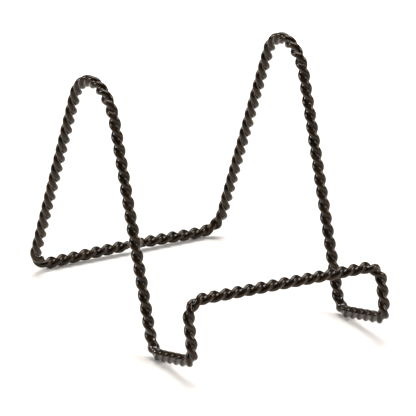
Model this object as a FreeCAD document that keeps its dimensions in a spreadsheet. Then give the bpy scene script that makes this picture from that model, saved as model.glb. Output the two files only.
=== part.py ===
import FreeCAD, Part
import math
import os

# A photo album stand, bent from one closed loop of twisted steel wire.
#
# Two round wires are twisted together into a rope. The rope is bent into two
# matching side frames, and its two ends meet in a butt weld in the back bar.
# A side frame runs from the back bar up the rear leg to the peak, down the
# front leg to the heel, out along the foot to the toe, and up the post to the
# lip bar, which joins the two frames at the front. The album stands on the two
# feet, leans on the two front legs, and is held by the lip bar.
#
# Sizes are millimetres and degrees. +X is to the right of someone facing the
# stand, +Y points to its back and +Z up. The origin is on the surface that it
# stands on, midway between the side frames and midway from front to back.

Vector = FreeCAD.Vector
Rotation = FreeCAD.Rotation

doc = FreeCAD.newDocument("album_stand")


# ---- Driving sizes --------------------------------------------------------

SIZES = (
    ("wire_diameter", 3.175, "each of the two wires, one eighth of an inch"),
    ("wire_clearance", 0.02, "between the two wires where they lie together"),
    ("lay_ratio", 4.5, "rope length for one whole turn of the twist, in wire diameters"),
    ("twist_start", 90.0, "degrees by which the first wire is turned about the rope at the weld"),
    ("frame_spacing", 118.6, "between the centre lines of the two side frames"),
    ("left_base_depth", 141.5, "from the left heel corner back to the back bar"),
    ("right_base_depth", 136.5, "from the right heel corner back to the back bar"),
    ("peak_reach", 78.7, "from the back bar forward to where the two legs' lines meet"),
    ("peak_height", 174.6, "height of that point above the heel corner"),
    ("left_foot_straight", 30.3, "straight part of the left foot, between its bends"),
    ("right_foot_straight", 33.9, "straight part of the right foot, between its bends"),
    ("foot_rise", 14.2, "degrees by which a foot climbs towards its toe"),
    ("left_post_straight", 16.6, "straight part of the left post, between its bends"),
    ("right_post_straight", 13.4, "straight part of the right post, between its bends"),
    ("post_lean", 11.5, "degrees by which a post leans back"),
    ("left_peak_pin", 21.8, "radius of the pin that the left peak is bent round"),
    ("right_peak_pin", 17.8, "radius of the pin that the right peak is bent round"),
    ("back_pin", 8.3, "radius of the pin between the back bar and a rear leg"),
    ("heel_bend_ratio", 1.62, "bend from a front leg into its foot, in tightest bends of the rope"),
    ("toe_bend_ratio", 1.3, "bend from a foot into its post, in tightest bends of the rope"),
    ("lip_bend_ratio", 1.77, "bend from a post into the lip bar, in tightest bends of the rope"),
    ("weld_offset", 5.0, "how far the weld lies to the right of the middle"),
    ("weld_rise", 1.4, "how far the back bar is bowed up at the weld"),
    ("weld_length", 9.0, "between the cut ends of the rope"),
    ("weld_neck", 3.5, "diameter of the weld where it is thinnest"),
    ("weld_bead", 6.0, "diameter of the swelling at its right end"),
    ("bead_length", 5.6, "length of that swelling"),
)

sheet = doc.addObject("Spreadsheet::Sheet", "sizes")


def write_size(row, alias, value, meaning):
    sheet.set(f"A{row}", alias)
    sheet.set(f"B{row}", str(value))
    sheet.set(f"C{row}", meaning)
    sheet.setAlias(f"B{row}", alias)


for number, entry in enumerate(SIZES, start=1):
    write_size(number, *entry)
doc.recompute()


def size(alias):
    return float(sheet.get(alias))


# Each wire's centre stays this far from the centre line of the rope, and the
# rope's outline reaches this far from it.
WIRE_RADIUS = size("wire_diameter") / 2
WINDING_RADIUS = WIRE_RADIUS + size("wire_clearance") / 2
ROPE_RADIUS = WINDING_RADIUS + WIRE_RADIUS
TWIST_PITCH = size("lay_ratio") * size("wire_diameter")

# On the inside of a bend the twist is squeezed together. In a tighter bend
# than this the two wires would ride up on each other.
TIGHTEST_BEND = WINDING_RADIUS / (1 - 2 * math.pi * WINDING_RADIUS / TWIST_PITCH)


# ---- The rope's centre line -----------------------------------------------


def setback(way_in, way_out, radius):
    """How far a bend starts before the corner where it turns from one way to the other."""
    return radius * math.tan(way_in.getAngle(way_out) / 2)


def bend(before, corner, after, radius):
    """The start, middle, end and centre of the bend at a corner."""
    way_in = (corner - before).normalize()
    way_out = (after - corner).normalize()
    start = corner - way_in * setback(way_in, way_out, radius)
    end = corner + way_out * setback(way_in, way_out, radius)
    inward = (way_out - way_in).normalize()
    centre = corner + inward * (radius / math.cos(way_in.getAngle(way_out) / 2))
    return start, centre - inward * radius, end, centre


def side_profile(side):
    """The corners of a side frame seen from its side, as (corner, bend radius), back bar first.

    The back bar is at height 0. The heel corner is lower, where the underside
    of its bend is level with the back bar.
    """
    foot_angle = math.radians(size("foot_rise"))
    post_angle = math.radians(size("post_lean"))
    heel_bend = size("heel_bend_ratio") * TIGHTEST_BEND
    toe_bend = size("toe_bend_ratio") * TIGHTEST_BEND
    lip_bend = size("lip_bend_ratio") * TIGHTEST_BEND
    foot_way = Vector(0, -math.cos(foot_angle), math.sin(foot_angle))
    post_way = Vector(0, math.sin(post_angle), math.cos(post_angle))
    bar_way = Vector(1, 0, 0)

    heel = Vector(0, -size(f"{side}_base_depth"), 0)
    peak = Vector(0, -size("peak_reach"), size("peak_height"))
    heel_setback = setback(heel - peak, foot_way, heel_bend)
    toe_setback = setback(foot_way, post_way, toe_bend)
    lip_setback = setback(post_way, bar_way, lip_bend)
    toe = heel + foot_way * (heel_setback + size(f"{side}_foot_straight") + toe_setback)
    lip = toe + post_way * (toe_setback + size(f"{side}_post_straight") + lip_setback)

    heel_centre = bend(peak, heel, toe, heel_bend)[3]
    level = Vector(0, 0, heel_bend - heel_centre.z)
    return (
        (Vector(0, 0, 0), size("back_pin") + ROPE_RADIUS),
        (peak + level, size(f"{side}_peak_pin") + ROPE_RADIUS),
        (heel + level, heel_bend),
        (toe + level, toe_bend),
        (lip + level, lip_bend),
    )


def loop_corners():
    """The corners of the whole loop in order, from the weld round the left frame first."""
    across = Vector(size("frame_spacing") / 2, 0, 0)
    left = [(corner - across, radius) for corner, radius in side_profile("left")]
    right = [(corner + across, radius) for corner, radius in side_profile("right")]
    return left + right[::-1]


def bent_route(start, corners):
    """Straight runs joined by tangent bends, from start round the corners and back to start."""
    points = [start] + [corner for corner, radius in corners] + [start]
    edges = []
    here = start
    for index, (corner, radius) in enumerate(corners, start=1):
        bend_start, middle, bend_end, _ = bend(points[index - 1], corner, points[index + 1], radius)
        edges.append(Part.LineSegment(here, bend_start).toShape())
        edges.append(Part.Arc(bend_start, middle, bend_end).toShape())
        here = bend_end
    edges.append(Part.LineSegment(here, start).toShape())
    return edges


weld_point = Vector(size("weld_offset"), 0, size("weld_rise"))
route = bent_route(weld_point, loop_corners())


# ---- The winding of the two wires ------------------------------------------

SECTIONS_PER_TURN = 8
CLOSE_SECTIONS_PER_TURN = 32  # close enough to find the rope's lowest point
TRIM = 1.5  # each wire runs this far into the weld's space before it is cut flush


def place_on_route(distance):
    """The point at a distance along the route, and the direction of the rope there."""
    for edge in route:
        if distance <= edge.Length:
            break
        distance -= edge.Length
    parameter = edge.getParameterByLength(min(distance, edge.Length))
    return edge.valueAt(parameter), edge.tangentAt(parameter)


def rope_sections(per_turn):
    """(centre, way out to the first wire) at even steps from one end of the rope to the other.

    The reference direction is carried along without turning about the rope, and
    the wires wind about it as a left-hand screw.
    """
    first = size("weld_length") / 2 - TRIM
    last = sum(edge.Length for edge in route) - first
    steps = round((last - first) / TWIST_PITCH * per_turn)
    sections = []
    previous = place_on_route(first)[1]
    reference = previous.cross(Vector(0, 1, 0)).normalize()
    for step in range(steps + 1):
        travelled = first + (last - first) * step / steps
        centre, along = place_on_route(travelled)
        reference = Rotation(previous, along).multVec(reference)
        turned = size("twist_start") - 360 * travelled / TWIST_PITCH
        sections.append((centre, Rotation(along, turned).multVec(reference)))
        previous = along
    return sections


def wire_centres(sections, side):
    """The centre line of one wire. side is 1 for the first wire and -1 for the second."""
    return [centre + outward * side * WINDING_RADIUS for centre, outward in sections]


# The loop moves so that the origin is under its middle and the lowest wire
# rests on z = 0.
outline = Part.Wire(route).BoundBox
close_sections = rope_sections(CLOSE_SECTIONS_PER_TURN)
lowest = min(point.z for side in (1, -1) for point in wire_centres(close_sections, side)) - WIRE_RADIUS
to_origin = Vector(0, -(outline.YMin + outline.YMax) / 2, -lowest)
for edge in route:
    edge.translate(to_origin)
weld_point = weld_point + to_origin
sections = rope_sections(SECTIONS_PER_TURN)

centre_line = doc.addObject("Part::Feature", "rope_centre_line")
centre_line.Shape = Part.Wire(route)

# Where the weld lies, for the pieces that are bound to the sheet.
write_size(len(SIZES) + 1, "weld_depth", weld_point.y, "worked out: the weld's place from front to back")
write_size(len(SIZES) + 2, "weld_height", weld_point.z, "worked out: the weld's height")
write_size(len(SIZES) + 3, "rope_radius", ROPE_RADIUS, "worked out: the twisted rope's outer radius")
doc.recompute()


# ---- The two twisted wires ------------------------------------------------

RING_POINTS = 12
CUBIC = 3


def curve_through(points):
    """A smooth curve through the points, one unit of parameter apart."""
    curve = Part.BSplineCurve()
    curve.interpolate(Points=points, Parameters=[float(step) for step in range(len(points))])
    return curve


def wire_surface(sections, side):
    """The round skin of one wire.

    A ring of control points goes round the wire at each section. The control
    points lie a little outside the wire, where the periodic cubic curve that
    they guide has the wire's own radius.
    """
    centres = wire_centres(sections, side)
    axis = curve_through(centres)
    ring_step = 2 * math.pi / RING_POINTS
    ring_radius = WIRE_RADIUS * 3 / (2 + math.cos(ring_step))
    lines = [[] for _ in range(RING_POINTS)]
    for step, (centre, (_, outward)) in enumerate(zip(centres, sections)):
        along = axis.tangent(float(step))[0]
        level = along.cross(outward * side).normalize()
        upright = level.cross(along)
        for index, line in enumerate(lines):
            angle = -index * ring_step
            line.append(centre + (upright * math.cos(angle) + level * math.sin(angle)) * ring_radius)
    curves = [curve_through(line) for line in lines]
    surface = Part.BSplineSurface()
    surface.buildFromPolesMultsKnots(
        [curve.getPoles() for curve in curves],
        [1] * (RING_POINTS + 1),
        curves[0].getMultiplicities(),
        [float(index) for index in range(RING_POINTS + 1)],
        curves[0].getKnots(),
        True,
        False,
        CUBIC,
        CUBIC,
    )
    return surface


def wire_solid(sections, side):
    """One wire as a closed solid, its skin divided into a face for each turn of the twist."""
    surface = wire_surface(sections, side)
    last = len(sections) - 1
    breaks = list(range(0, last - SECTIONS_PER_TURN // 2, SECTIONS_PER_TURN)) + [last]
    faces = []
    for start, end in zip(breaks, breaks[1:]):
        turn = surface.copy()
        turn.segment(0.0, float(RING_POINTS), float(start), float(end))
        faces.append(turn.toShape())
    for end in (0, last):
        rim = surface.vIso(float(end)).toShape()
        faces.append(Part.Face(Part.Wire(rim)))
    shell = Part.makeShell(faces)
    shell.sewShape()
    return Part.makeSolid(shell)


# The weld takes the place of a short length of rope, so both wires are cut to it.
weld_space = doc.addObject("Part::Box", "weld_space")
weld_space.setExpression("Length", "sizes.weld_length")
weld_space.setExpression("Width", "4 * sizes.rope_radius")
weld_space.setExpression("Height", "4 * sizes.rope_radius")
weld_space.setExpression("Placement.Base.x", "sizes.weld_offset - sizes.weld_length / 2")
weld_space.setExpression("Placement.Base.y", "sizes.weld_depth - 2 * sizes.rope_radius")
weld_space.setExpression("Placement.Base.z", "sizes.weld_height - 2 * sizes.rope_radius")


def strand(name, side):
    """One of the two wires of the rope, cut flush at the weld."""
    wire = doc.addObject("Part::Feature", f"{name}_uncut")
    wire.Shape = wire_solid(sections, side)
    trimmed = doc.addObject("Part::Cut", name)
    trimmed.Label = name
    trimmed.Base = wire
    trimmed.Tool = weld_space
    return trimmed


first_strand = strand("first_strand", 1)
second_strand = strand("second_strand", -1)


# ---- The butt weld ---------------------------------------------------------


def butt_weld():
    """The weld metal between the rope's two ends: a thin neck that swells into a bead at its right end."""
    body = doc.addObject("PartDesign::Body", "butt_weld")
    body.Label = "butt_weld"
    body.setExpression("Placement.Base.x", "sizes.weld_offset - sizes.weld_length / 2")
    body.setExpression("Placement.Base.y", "sizes.weld_depth")
    body.setExpression("Placement.Base.z", "sizes.weld_height")
    side_plane = next(plane for plane in body.Origin.OriginFeatures if plane.Role == "YZ_Plane")

    neck = body.newObject("PartDesign::AdditiveCylinder", "weld_neck_rod")
    neck.AttachmentSupport = side_plane
    neck.MapMode = "FlatFace"
    neck.setExpression("Radius", "sizes.weld_neck / 2")
    neck.setExpression("Height", "sizes.weld_length")

    bead = body.newObject("PartDesign::AdditiveEllipsoid", "weld_bead_swelling")
    bead.AttachmentSupport = side_plane
    bead.MapMode = "FlatFace"
    bead.setExpression("Radius1", "sizes.bead_length / 2")
    bead.setExpression("Radius2", "sizes.weld_bead / 2")
    bead.setExpression("Radius3", "sizes.weld_bead / 2")
    bead.setExpression("AttachmentOffset.Base.z", "sizes.weld_length - sizes.bead_length / 2")
    return body


weld = butt_weld()
doc.recompute()


# ---- Export ----------------------------------------------------------------

NODES = (first_strand, second_strand, weld)

for item in doc.Objects:
    if "Invalid" in item.State or "Error" in item.State:
        raise RuntimeError(f"{item.Label} did not build: {item.State}")
for node in NODES:
    if node.Shape.isNull() or not node.Shape.isValid():
        raise RuntimeError(f"{node.Label} has no valid shape")

os.makedirs("parts", exist_ok=True)
for node in NODES:
    node.Shape.exportStep(f"parts/{node.Label}.step")
    print(f"{node.Label}: {node.Shape.Volume:.1f} mm3 in {len(node.Shape.Solids)} solid")
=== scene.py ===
import math

import bpy
import numpy as np
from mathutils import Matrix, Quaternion, Vector, noise


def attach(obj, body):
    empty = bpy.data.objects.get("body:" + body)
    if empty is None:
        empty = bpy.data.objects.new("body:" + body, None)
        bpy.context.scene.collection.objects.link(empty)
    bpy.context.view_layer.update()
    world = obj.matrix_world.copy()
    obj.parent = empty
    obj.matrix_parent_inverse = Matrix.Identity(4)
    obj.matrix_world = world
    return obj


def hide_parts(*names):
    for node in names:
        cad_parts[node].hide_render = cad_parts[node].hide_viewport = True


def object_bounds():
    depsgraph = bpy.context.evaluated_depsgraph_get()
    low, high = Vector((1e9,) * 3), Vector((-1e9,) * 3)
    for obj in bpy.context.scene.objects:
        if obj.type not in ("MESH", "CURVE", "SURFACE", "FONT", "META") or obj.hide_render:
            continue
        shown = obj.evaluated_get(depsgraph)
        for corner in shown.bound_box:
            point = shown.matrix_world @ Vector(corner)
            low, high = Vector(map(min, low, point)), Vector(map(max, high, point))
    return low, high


# The photo album stand: one loop of two twisted steel wires, bent into two side
# frames, welded once in its back bar and dipped in a satin black coating.
# Metres, in the frame of the CAD: +X to the right, +Y to the back, +Z up.

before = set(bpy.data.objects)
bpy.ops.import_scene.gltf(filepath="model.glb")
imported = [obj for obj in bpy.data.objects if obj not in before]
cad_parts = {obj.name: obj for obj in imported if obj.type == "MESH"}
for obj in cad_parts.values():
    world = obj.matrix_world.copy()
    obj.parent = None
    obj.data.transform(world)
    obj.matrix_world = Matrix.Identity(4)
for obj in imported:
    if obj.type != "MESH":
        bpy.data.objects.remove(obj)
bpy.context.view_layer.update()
MM = 0.001


# ---- The bent rope -------------------------------------------------------------
# The rope is bent cold round pins: from the weld in the back bar round the left
# side frame, along the lip bar and round the right side frame back to the weld.
# It is hand work, so the two side frames differ by a few millimetres.

WIRE_DIAMETER = 3.175 * MM
WIRE_CLEARANCE = 0.02 * MM
WIRE_RADIUS = WIRE_DIAMETER / 2
WINDING_RADIUS = WIRE_RADIUS + WIRE_CLEARANCE / 2
ROPE_RADIUS = WINDING_RADIUS + WIRE_RADIUS
TWIST_PITCH = 4.5 * WIRE_DIAMETER
TWIST_START = math.radians(90)
LEAD = TWIST_PITCH / (2 * math.pi)
TIGHTEST_BEND = WINDING_RADIUS / (1 - WINDING_RADIUS / LEAD)

FRAME_SPACING = 118.6 * MM
PEAK_REACH = 78.7 * MM
PEAK_HEIGHT = 174.6 * MM
FOOT_RISE = math.radians(14.2)
POST_LEAN = math.radians(11.5)
BACK_BEND = 8.3 * MM + ROPE_RADIUS
HEEL_BEND = 1.62 * TIGHTEST_BEND
TOE_BEND = 1.3 * TIGHTEST_BEND
LIP_BEND = 1.77 * TIGHTEST_BEND
WELD_POINT = Vector((5, 0, 1.4)) * MM
WELD_LENGTH = 9.0 * MM
ROUTE_STEP = 0.25 * MM
END_INSIDE_WELD = 1.5 * MM
STATIONS_PER_TURN = 26


def setback(way_in, way_out, radius):
    """How far a bend starts before the corner where it turns from one way to the other."""
    return radius * math.tan(way_in.angle(way_out) / 2)


def bend(before, corner, after, radius):
    """The start, centre and end of the bend at a corner, and the angle that it turns through."""
    way_in = (corner - before).normalized()
    way_out = (after - corner).normalized()
    reach = setback(way_in, way_out, radius)
    turn = way_in.angle(way_out)
    centre = corner + (way_out - way_in).normalized() * radius / math.cos(turn / 2)
    return corner - way_in * reach, centre, corner + way_out * reach, turn


def side_corners(x, base_depth, foot_straight, post_straight, peak_pin):
    """A side frame's corners and bend radii, from the back bar to the lip bar."""
    foot_way = Vector((0, -math.cos(FOOT_RISE), math.sin(FOOT_RISE)))
    post_way = Vector((0, math.sin(POST_LEAN), math.cos(POST_LEAN)))
    bar_way = Vector((1, 0, 0))
    heel = Vector((x, -base_depth, 0))
    peak = Vector((x, -PEAK_REACH, PEAK_HEIGHT))
    heel_setback = setback(heel - peak, foot_way, HEEL_BEND)
    toe_setback = setback(foot_way, post_way, TOE_BEND)
    toe = heel + foot_way * (heel_setback + foot_straight + toe_setback)
    lip = toe + post_way * (toe_setback + post_straight + setback(post_way, bar_way, LIP_BEND))
    level = Vector((0, 0, HEEL_BEND - bend(peak, heel, toe, HEEL_BEND)[1].z))
    return [
        (Vector((x, 0, 0)), BACK_BEND),
        (peak + level, peak_pin + ROPE_RADIUS),
        (heel + level, HEEL_BEND),
        (toe + level, TOE_BEND),
        (lip + level, LIP_BEND),
    ]


def route_points(start, corners):
    """Points close together along the straight runs and round the bends, from start to start."""
    path = [start] + [corner for corner, radius in corners] + [start]
    points = []
    here = start
    for index, (corner, radius) in enumerate(corners, start=1):
        bend_start, centre, bend_end, turn = bend(path[index - 1], corner, path[index + 1], radius)
        run_steps = max(1, round((bend_start - here).length / ROUTE_STEP))
        points += [here.lerp(bend_start, step / run_steps) for step in range(run_steps)]
        arm = bend_start - centre
        hinge = arm.cross(bend_end - centre).normalized()
        bend_steps = round(turn * radius / ROUTE_STEP)
        points += [centre + Quaternion(hinge, turn * step / bend_steps) @ arm for step in range(bend_steps)]
        here = bend_end
    run_steps = round((start - here).length / ROUTE_STEP)
    points += [here.lerp(start, step / run_steps) for step in range(run_steps + 1)]
    return np.array(points)


def unit(rows):
    return rows / np.linalg.norm(rows, axis=-1, keepdims=True)


def spoke(quarter_turns):
    """At each station, the way out from the rope's centre that many quarter turns past the first wire."""
    angle = (winding_angle + quarter_turns * math.pi / 2)[:, None]
    return across * np.cos(angle) + np.cross(along, across) * np.sin(angle)


left_corners = side_corners(
    x=-FRAME_SPACING / 2,
    base_depth=141.5 * MM,
    foot_straight=30.3 * MM,
    post_straight=16.6 * MM,
    peak_pin=21.8 * MM,
)
right_corners = side_corners(
    x=FRAME_SPACING / 2,
    base_depth=136.5 * MM,
    foot_straight=33.9 * MM,
    post_straight=13.4 * MM,
    peak_pin=17.8 * MM,
)
route = route_points(WELD_POINT, left_corners + right_corners[::-1])
travelled = np.concatenate([[0], np.cumsum(np.linalg.norm(np.diff(route, axis=0), axis=1))])

# The rope's stations, the direction of the rope at each, and a direction across
# it that is carried along without turning about it.
first_station = WELD_LENGTH / 2 - END_INSIDE_WELD
last_station = travelled[-1] - first_station
station_count = round((last_station - first_station) / TWIST_PITCH * STATIONS_PER_TURN)
stations = np.linspace(first_station, last_station, station_count + 1)
centres = np.stack([np.interp(stations, travelled, route[:, axis]) for axis in range(3)], 1)
along = unit(np.gradient(centres, axis=0))
across = [np.cross(along[0], (0, 1, 0))]
for before, after in zip(along, along[1:]):
    across.append(Vector(before).rotation_difference(Vector(after)) @ Vector(across[-1]))
across = unit(np.array(across))
winding_angle = TWIST_START - stations / LEAD

# Where the two wires lie about the rope, in quarter turns.
FIRST_WIRE = 0
SECOND_WIRE = 2

# The bare wire's lowest point is at z = 0, with the origin under the stand's middle.
wires = (FIRST_WIRE, SECOND_WIRE)
lowest = min((centres + spoke(side) * WINDING_RADIUS)[:, 2].min() for side in wires) - WIRE_RADIUS
to_origin = np.array((0, -(route[:, 1].min() + route[:, 1].max()) / 2, -lowest))
centres += to_origin

# How sharply the rope is bent at each station: 0 on a straight run and 1 at the feet.
GENTLE_CURVE = 1 / (25 * MM)
SHARP_CURVE = 1 / (8 * MM)
STATIONS_AVERAGED = 9
curve = np.linalg.norm(np.gradient(along, stations, axis=0), axis=1)
curve = np.convolve(curve, np.full(STATIONS_AVERAGED, 1 / STATIONS_AVERAGED), mode="same")
bent = np.clip((curve - GENTLE_CURVE) / (SHARP_CURVE - GENTLE_CURVE), 0, 1)


# ---- The two strands -------------------------------------------------------------
# Each strand is one mild steel wire, wound left-handed round the other. The dipped
# coating lies on them in gentle waves, and fills the bottom of the grooves with a
# hollow bead. It drained to the feet as it dried, and the grooves are fuller there.

RING_POINTS = 22
COAT_THICKNESS = 0.18 * MM
COATED_RADIUS = WIRE_RADIUS + COAT_THICKNESS
MELTED_LENGTH = 2.4 * MM
MELTED_WINDING = 0.35
MELTED_THICKNESS = 0.62
WAVE_HEIGHT = 0.04 * MM
WAVE_LENGTH = 2.4 * MM
RIPPLE_HEIGHT = 0.02 * MM
RIPPLE_LENGTH = 0.9 * MM
FILLET_RADIUS = 0.5 * MM
DRAINED_FILLET_RADIUS = 3.6 * MM
DRAINED_BELOW = 10 * MM
DRAINED_FADE = 7 * MM
DRAINED_BEYOND = -42 * MM
FILLET_POINTS = 6
EDGE_SINK = 0.1 * MM
EDGE_SPREAD = 0.2 * MM
BEAD_ROOT = 0.4 * MM


def sound_share():
    """At each station, 0 where the wire has melted into the weld and 1 where it is sound."""
    from_end = np.minimum(stations - stations[0], stations[-1] - stations)
    share = np.clip(from_end / MELTED_LENGTH, 0, 1)
    return (share * share * (3 - 2 * share))[:, None]


def wire_axis(side):
    winding = WINDING_RADIUS * (MELTED_WINDING + (1 - MELTED_WINDING) * sound_share())
    return centres + spoke(side) * winding


def with_coat_waves(rings, outward):
    """The rings with each point moved in or out by the waves in the coating."""
    waves = np.zeros(rings.shape[:2])
    for row, ring in enumerate(rings):
        for column, point in enumerate(ring):
            place = Vector(point)
            broad = noise.noise(place / WAVE_LENGTH) * WAVE_HEIGHT
            fine = noise.noise(place / RIPPLE_LENGTH) * RIPPLE_HEIGHT
            waves[row, column] = broad + fine * (1 + 2 * bent[row])
    return rings + outward * waves[..., None]


def wire_rings(side):
    """The skin of one coated wire, as a ring of points at each station."""
    axis = wire_axis(side)
    wire_along = unit(np.gradient(axis, axis=0))
    upright = spoke(side)
    upright = unit(upright - wire_along * np.sum(upright * wire_along, axis=1, keepdims=True))
    level = np.cross(wire_along, upright)
    angles = np.arange(RING_POINTS) * 2 * math.pi / RING_POINTS
    outward = upright[:, None] * np.cos(angles)[:, None] + level[:, None] * np.sin(angles)[:, None]
    radius = COATED_RADIUS * (MELTED_THICKNESS + (1 - MELTED_THICKNESS) * sound_share())
    return with_coat_waves(axis[:, None] + outward * radius[:, None], outward)


SHIFTS_TRIED = 500
HALVINGS = 40
RADII_SOLVED = 9


def ball_in_groove(fillet_radius):
    """Where a ball of the fillet's radius rests in the groove.

    Gives its distance from the rope's centre, and how far along the rope it
    touches each wire.
    """
    shifts = np.linspace(0, TWIST_PITCH / 4, SHIFTS_TRIED)
    low, high = 0, 3 * ROPE_RADIUS
    for _ in range(HALVINGS):
        height = (low + high) / 2
        from_axis = np.sqrt(
            WINDING_RADIUS**2
            + height**2
            - 2 * WINDING_RADIUS * height * np.sin(shifts / LEAD)
            + shifts**2
        )
        if from_axis.min() < COATED_RADIUS + fillet_radius:
            low = height
        else:
            high = height
    return height, shifts[from_axis.argmin()]


def balls_along_rope():
    """The ball's distance from the centre and its shift at each station, with a larger ball at the feet."""
    drained = np.clip((DRAINED_BELOW + DRAINED_FADE - centres[:, 2]) / DRAINED_FADE, 0, 1)
    drained *= centres[:, 1] < DRAINED_BEYOND
    radii = FILLET_RADIUS + (DRAINED_FILLET_RADIUS - FILLET_RADIUS) * drained
    solved_radii = np.linspace(FILLET_RADIUS, DRAINED_FILLET_RADIUS, RADII_SOLVED)
    solved = np.array([ball_in_groove(radius) for radius in solved_radii])
    heights = np.interp(radii, solved_radii, solved[:, 0])
    shifts = np.interp(radii, solved_radii, solved[:, 1])
    return heights[:, None], shifts


def bead_rings(side):
    """The coating in the groove after one wire, as a slim closed bead with a hollow outer face.

    The face is the track of a ball rolling in the groove. Its two edges are
    sunk into the wires, and its root lies between them.
    """
    height, shift = balls_along_rope()
    ball = centres + spoke(side + 1) * height
    touched = []
    for wire, way in ((side, -1), (side + 2, 1)):
        axis = wire_axis(wire)
        beside = [np.interp(stations + way * shift, stations, axis[:, k]) for k in range(3)]
        touched.append(np.stack(beside, 1) - ball)
    from_first, from_second = unit(touched[0]), unit(touched[1])
    first_gap = np.linalg.norm(touched[0], axis=1, keepdims=True) - COATED_RADIUS
    second_gap = np.linalg.norm(touched[1], axis=1, keepdims=True) - COATED_RADIUS
    likeness = np.sum(from_first * from_second, axis=1, keepdims=True)
    opening = np.arccos(likeness)

    face = []
    rays = []
    for share in np.linspace(0, 1, FILLET_POINTS):
        near = np.sin((1 - share) * opening) * from_first
        far = np.sin(share * opening) * from_second
        rays.append(unit(near + far))
        face.append(ball + rays[-1] * (first_gap * (1 - share) + second_gap * share))
    beyond_first = unit(from_first * likeness - from_second)
    beyond_second = unit(from_second * likeness - from_first)
    first_edge = face[0] + beyond_first * EDGE_SPREAD + from_first * EDGE_SINK
    second_edge = face[-1] + beyond_second * EDGE_SPREAD + from_second * EDGE_SINK
    root = centres + spoke(side + 1) * BEAD_ROOT
    rings = np.stack([first_edge, *face, second_edge, root], 1)
    outward = -np.stack([rays[0], *rays, rays[-1], -spoke(side + 1)], 1)
    rings = with_coat_waves(rings, outward)
    clear_of_weld = np.minimum(stations - stations[0], stations[-1] - stations) > MELTED_LENGTH
    return rings[clear_of_weld]


def tube_faces(rings, first_vertex):
    """The faces of a tube over rings of points, closed at both ends."""
    count, around = rings.shape[:2]
    faces = []
    for row in range(count - 1):
        low = first_vertex + row * around
        for here in range(around):
            after = (here + 1) % around
            faces.append((low + here, low + after, low + around + after, low + around + here))
    last = first_vertex + (count - 1) * around
    faces.append(tuple(range(first_vertex + around - 1, first_vertex - 1, -1)))
    faces.append(tuple(range(last, last + around)))
    return faces


def strand_mesh(name, side):
    """One coated wire and the bead in the groove after it."""
    wire = wire_rings(side)
    bead = bead_rings(side)
    wire_points = wire.reshape(-1, 3)
    bead_points = bead.reshape(-1, 3)
    wire_faces = tube_faces(wire, 0)
    faces = wire_faces + tube_faces(bead, len(wire_points))
    mesh = bpy.data.meshes.new(name)
    mesh.from_pydata(np.vstack([wire_points, bead_points]).tolist(), [], faces)
    mesh.polygons.foreach_set("use_smooth", np.ones(len(faces), dtype=bool))
    mesh.materials.append(coating)
    mesh.materials.append(pooled_coating)
    is_bead = np.arange(len(faces)) >= len(wire_faces)
    mesh.polygons.foreach_set("material_index", is_bead.astype(int))

    # The material needs to know where the coating is rubbed and where it is bent.
    from_centre = np.linalg.norm(wire - centres[:, None], axis=2) / ROPE_RADIUS
    crest = mesh.attributes.new("crest", "FLOAT", "POINT")
    crest.data.foreach_set("value", np.concatenate([from_centre.ravel(), np.zeros(len(bead_points))]))
    bead_start = (len(wire) - len(bead)) // 2
    bead_bent = bent[bead_start : bead_start + len(bead)]
    bent_here = mesh.attributes.new("bent", "FLOAT", "POINT")
    spread = np.concatenate([np.repeat(bent, wire.shape[1]), np.repeat(bead_bent, bead.shape[1])])
    bent_here.data.foreach_set("value", spread)
    return mesh


def add_piece(name, mesh):
    """A piece of the stand, which moves with its one body."""
    piece = bpy.data.objects.new(name, mesh)
    bpy.context.collection.objects.link(piece)
    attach(piece, "root")
    return piece


class Value:
    """A number that varies over a surface. Arithmetic on it adds Math nodes to its material."""

    def __init__(self, paint, socket):
        self.paint = paint
        self.socket = socket

    def maths(self, operation, *terms):
        return self.paint.node("ShaderNodeMath", {"operation": operation}, *terms)

    def __add__(self, other):
        return self.maths("ADD", self, other)

    def __rsub__(self, other):
        return self.maths("SUBTRACT", other, self)

    def __mul__(self, other):
        return self.maths("MULTIPLY", self, other)

    __radd__ = __add__
    __rmul__ = __mul__


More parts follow.
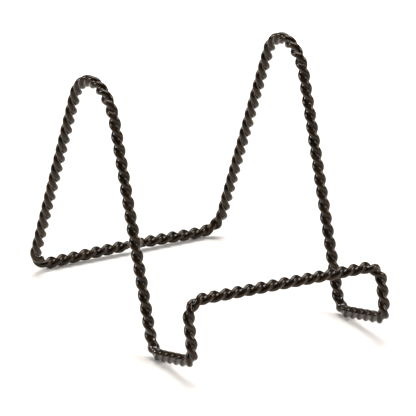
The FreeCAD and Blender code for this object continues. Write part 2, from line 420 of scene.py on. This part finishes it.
class Paint:
    """A material and its nodes."""

    def __init__(self, name):
        self.material = bpy.data.materials.new(name)
        self.material.use_nodes = True
        self.nodes = self.material.node_tree.nodes
        self.links = self.material.node_tree.links
        self.shader = self.nodes["Principled BSDF"]
        self.place = self.node("ShaderNodeTexCoord", {}, output="Object")

    def put(self, socket, value):
        if isinstance(value, Value):
            self.links.new(value.socket, socket)
        else:
            socket.default_value = value

    def node(self, kind, settings, *values, output=0, **named):
        """Adds a node: its settings first, then the values or links of its sockets."""
        made = self.nodes.new(kind)
        for setting, value in settings.items():
            if setting == "stops":
                for stop, (position, shade) in zip(made.color_ramp.elements, value):
                    stop.position = position
                    stop.color = (shade, shade, shade, 1)
            else:
                setattr(made, setting, value)
        for socket, value in zip(made.inputs, values):
            self.put(socket, value)
        sockets = {socket.identifier: socket for socket in made.inputs}
        for name, value in named.items():
            self.put(sockets[name], value)
        return Value(self, made.outputs[output])

    def noise(self, feature_size, detail):
        scale = 1 / feature_size
        return self.node("ShaderNodeTexNoise", {}, Vector=self.place, Scale=scale, Detail=detail)

    def stored(self, attribute):
        return self.node("ShaderNodeAttribute", {"attribute_name": attribute}, output="Fac")

    def ramp(self, value, low, high):
        """0 where the value is below low, rising to 1 where it is above high."""
        return self.node("ShaderNodeValToRGB", {"stops": ((low, 0), (high, 1))}, value)

    def mixed(self, share, first, second):
        """A colour between the two, by the share of the second."""
        settings = {"data_type": "RGBA"}
        colours = {"A_Color": first, "B_Color": second}
        return self.node("ShaderNodeMix", settings, share, output=2, **colours)

    def bump(self, height, distance, strength, **under):
        """A surface roughened by a height, over the bumps that are already there."""
        return self.node(
            "ShaderNodeBump", {}, Height=height, Distance=distance, Strength=strength, **under
        )

    def finish(self, shade, roughness, surface, shine, gloss=(1, 1, 1, 1)):
        self.put(self.shader.inputs["Specular IOR Level"], shine)
        self.put(self.shader.inputs["Specular Tint"], gloss)
        self.put(self.shader.inputs["Base Color"], shade)
        self.put(self.shader.inputs["Roughness"], roughness)
        self.put(self.shader.inputs["Normal"], surface)
        return self.material


BLACK_COAT = (0.004, 0.0026, 0.0012, 1)
BROWN_COAT = (0.02, 0.0095, 0.0035, 1)
RUBBED_COAT = (0.05, 0.03, 0.018, 1)
DUST = (0.16, 0.13, 0.11, 1)
COAT_SHINE = 0.3
WARM_GLOSS = (1, 0.9, 0.74, 1)
MOTTLE_SIZE = 5.5 * MM
PATCH_SIZE = 1.6 * MM
SPECK_SIZE = 0.45 * MM
PEEL_SIZE = 0.7 * MM
PEEL_HEIGHT = 0.02 * MM
CREASE_SIZE = 0.55 * MM
CREASE_HEIGHT = 0.12 * MM


def satin_black():
    """Satin black paint with a brown cast, rubbed on the crests and creased in the sharp bends."""
    paint = Paint("satin_black_coating")
    crest = paint.stored("crest")
    sharp = paint.stored("bent")
    mottle = paint.ramp(paint.noise(MOTTLE_SIZE, 3), 0.35, 0.65)
    patches = paint.ramp(paint.noise(PATCH_SIZE, 4), 0.5, 0.72)
    rubbed = paint.ramp(crest, 0.9, 1.0) * patches
    specks = paint.ramp(paint.noise(SPECK_SIZE, 2), 0.7, 0.76)
    shade = paint.mixed(mottle, BLACK_COAT, BROWN_COAT)
    shade = paint.mixed(rubbed * 0.6, shade, RUBBED_COAT)
    shade = paint.mixed(specks * 0.35, shade, DUST)
    peel = paint.bump(paint.noise(PEEL_SIZE, 2), PEEL_HEIGHT, 0.6)
    creases = paint.noise(CREASE_SIZE, 3) * sharp
    surface = paint.bump(creases, CREASE_HEIGHT, 0.8, Normal=peel)
    roughness = 0.13 + 0.06 * mottle + 0.16 * rubbed + 0.1 * specks
    return paint.finish(shade, roughness, surface, COAT_SHINE, WARM_GLOSS)


POOLED_SHINE = 0.7
POOLED_MOTTLE_SIZE = 4 * MM
POOLED_PEEL_SIZE = 1.1 * MM


def pooled_black():
    """The same paint where it pooled in the grooves: thick, smooth and glossier."""
    paint = Paint("pooled_black_coating")
    mottle = paint.ramp(paint.noise(POOLED_MOTTLE_SIZE, 3), 0.35, 0.65)
    shade = paint.mixed(mottle, BLACK_COAT, BROWN_COAT)
    surface = paint.bump(paint.noise(POOLED_PEEL_SIZE, 2), PEEL_HEIGHT, 0.5)
    return paint.finish(shade, 0.09 + 0.08 * mottle, surface, POOLED_SHINE)


coating = satin_black()
pooled_coating = pooled_black()
for name, side in (("first_strand", FIRST_WIRE), ("second_strand", SECOND_WIRE)):
    strand = add_piece(name + "_coated", strand_mesh(name, side))
    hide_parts(name)


# ---- The butt weld ---------------------------------------------------------------
# The rope's two ends were pushed together hot in the back bar before dipping.
# The steel drew out into a neck on the left and swelled into a bead on the right,
# where the coating is thin and a spot of rust shows.

# Millimetres along from the left-hand rope's end, and the weld's radius there.
WELD_PROFILE = (
    (-0.7, 1.1),
    (-0.1, 2.1),
    (0.9, 2.2),
    (2.3, 1.75),
    (3.9, 1.72),
    (5.2, 2.6),
    (6.8, 3.2),
    (8.4, 3.3),
    (9.4, 2.6),
    (10.0, 1.2),
)
WELD_ROUND = 14
WELD_LUMPS = 0.22 * MM
WELD_LUMP_LENGTH = 2.6 * MM

weld_left = WELD_POINT + Vector(to_origin) - Vector((WELD_LENGTH / 2, 0, 0))


def weld_rings():
    rings = []
    for reach, radius in WELD_PROFILE:
        ring = []
        for step in range(WELD_ROUND):
            angle = -2 * math.pi * step / WELD_ROUND
            way = Vector((0, math.sin(angle), math.cos(angle)))
            point = weld_left + Vector((reach, 0, 0)) * MM + way * radius * MM
            ring.append(point + way * noise.noise(point / WELD_LUMP_LENGTH) * WELD_LUMPS)
        rings.append(ring)
    return np.array(rings)


RUST_SPOT = weld_left + Vector((8.4, -0.1, 3.4)) * MM
BARE_STEEL = (0.085, 0.07, 0.06, 1)
RUST = (0.42, 0.19, 0.08, 1)
RUST_REACH = 4 * MM
RAGGED_SIZE = 0.6 * MM
SCALE_SIZE = 1.3 * MM
PIT_SIZE = 0.5 * MM
PIT_DEPTH = 0.08 * MM


def weld_finish():
    """Thin dark coating over scaly steel, with one spot of rust on top."""
    paint = Paint("thinly_coated_weld")
    scale = paint.ramp(paint.noise(SCALE_SIZE, 4), 0.4, 0.7)
    distance = {"operation": "DISTANCE"}
    from_spot = paint.node("ShaderNodeVectorMath", distance, paint.place, RUST_SPOT, output="Value")
    ragged = from_spot * (1 / RUST_REACH) + 0.3 * paint.noise(RAGGED_SIZE, 3)
    rust = 1 - paint.ramp(ragged, 0.3, 0.48)
    shade = paint.mixed(scale, BROWN_COAT, BARE_STEEL)
    shade = paint.mixed(rust, shade, RUST)
    surface = paint.bump(paint.noise(PIT_SIZE, 4), PIT_DEPTH, 0.7)
    roughness = 0.3 + 0.15 * scale + 0.35 * rust
    return paint.finish(shade, roughness, surface, COAT_SHINE)


rings = weld_rings()
faces = tube_faces(rings, 0)
weld_mesh = bpy.data.meshes.new("butt_weld")
weld_mesh.from_pydata(rings.reshape(-1, 3).tolist(), [], faces)
weld_mesh.polygons.foreach_set("use_smooth", np.ones(len(faces), dtype=bool))
weld_mesh.materials.append(weld_finish())
weld = add_piece("butt_weld_coated", weld_mesh)
rounding = weld.modifiers.new("rounding", "SUBSURF")
rounding.levels = 2
rounding.render_levels = 2
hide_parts("butt_weld")


# ---- Floor, light and camera -------------------------------------------------------
# The stand is shown on a plain pale floor in a dim room, under one large soft
# lamp overhead with a smaller one on each side. The coated feet touch the floor.

FLOOR_WIDTH = 12
PALE = (0.9, 0.86, 0.81, 1)
PALER = (0.92, 0.88, 0.84, 1)
CLOUD_SIZE = 0.2
GRAIN_SIZE = 2 * MM
GRAIN_HEIGHT = 0.05 * MM
ROOM_GLOW = 0.06

bpy.ops.mesh.primitive_plane_add(size=FLOOR_WIDTH, location=(0, 0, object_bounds()[0][2]))
floor = bpy.context.object
floor.name = "floor"
floor_paint = Paint("pale_floor")
pale = floor_paint.mixed(floor_paint.noise(CLOUD_SIZE, 2), PALE, PALER)
grain = floor_paint.bump(floor_paint.noise(GRAIN_SIZE, 2), GRAIN_HEIGHT, 0.3)
floor.data.materials.append(floor_paint.finish(pale, 0.9, grain, 0.1))

room = bpy.data.worlds.new("room")
room.use_nodes = True
room.node_tree.nodes["Background"].inputs["Color"].default_value = (1, 1, 1, 1)
room.node_tree.nodes["Background"].inputs["Strength"].default_value = ROOM_GLOW
bpy.context.scene.world = room
bpy.context.scene.view_settings.view_transform = "Standard"

LAMP_AIM = Vector((0, 0, 0.06))


def soft_lamp(name, place, width, power):
    """A square soft lamp that faces the middle of the stand."""
    light = bpy.data.lights.new(name, "AREA")
    light.size = width
    light.energy = power
    lamp = bpy.data.objects.new(name, light)
    lamp.location = place
    lamp.rotation_mode = "QUATERNION"
    lamp.rotation_quaternion = (LAMP_AIM - Vector(place)).to_track_quat("-Z", "Y")
    lamp.visible_camera = False
    bpy.context.collection.objects.link(lamp)


soft_lamp("overhead_lamp", (0.4, 0.8, 2.0), 1.8, 64)
soft_lamp("left_lamp", (-2.2, 1.0, 1.4), 0.9, 48)
soft_lamp("right_lamp", (1.8, -1.2, 1.2), 1.0, 40)

# A long lens, looking down at the stand from the front and a little from its left.
CAMERA_AZIMUTH = math.radians(29.16)
CAMERA_DROP = math.radians(20.8)
CAMERA_DISTANCE = 2553 * MM
LENS = 408.8
AIM = Vector((0, -109, 60)) * MM + Vector(to_origin)
OFF_CENTRE = 6.98 * MM

camera = bpy.data.objects.new("camera", bpy.data.cameras.new("camera"))
camera.data.lens = LENS
camera.data.clip_end = 20
rightward = Vector((math.cos(CAMERA_AZIMUTH), -math.sin(CAMERA_AZIMUTH), 0))
level_ahead = Vector((math.sin(CAMERA_AZIMUTH), math.cos(CAMERA_AZIMUTH), 0))
ahead = level_ahead * math.cos(CAMERA_DROP) - Vector((0, 0, math.sin(CAMERA_DROP)))
camera.location = AIM - ahead * CAMERA_DISTANCE - rightward * OFF_CENTRE
camera.rotation_mode = "QUATERNION"
camera.rotation_quaternion = ahead.to_track_quat("-Z", "Y")
bpy.context.collection.objects.link(camera)
bpy.context.scene.camera = camera
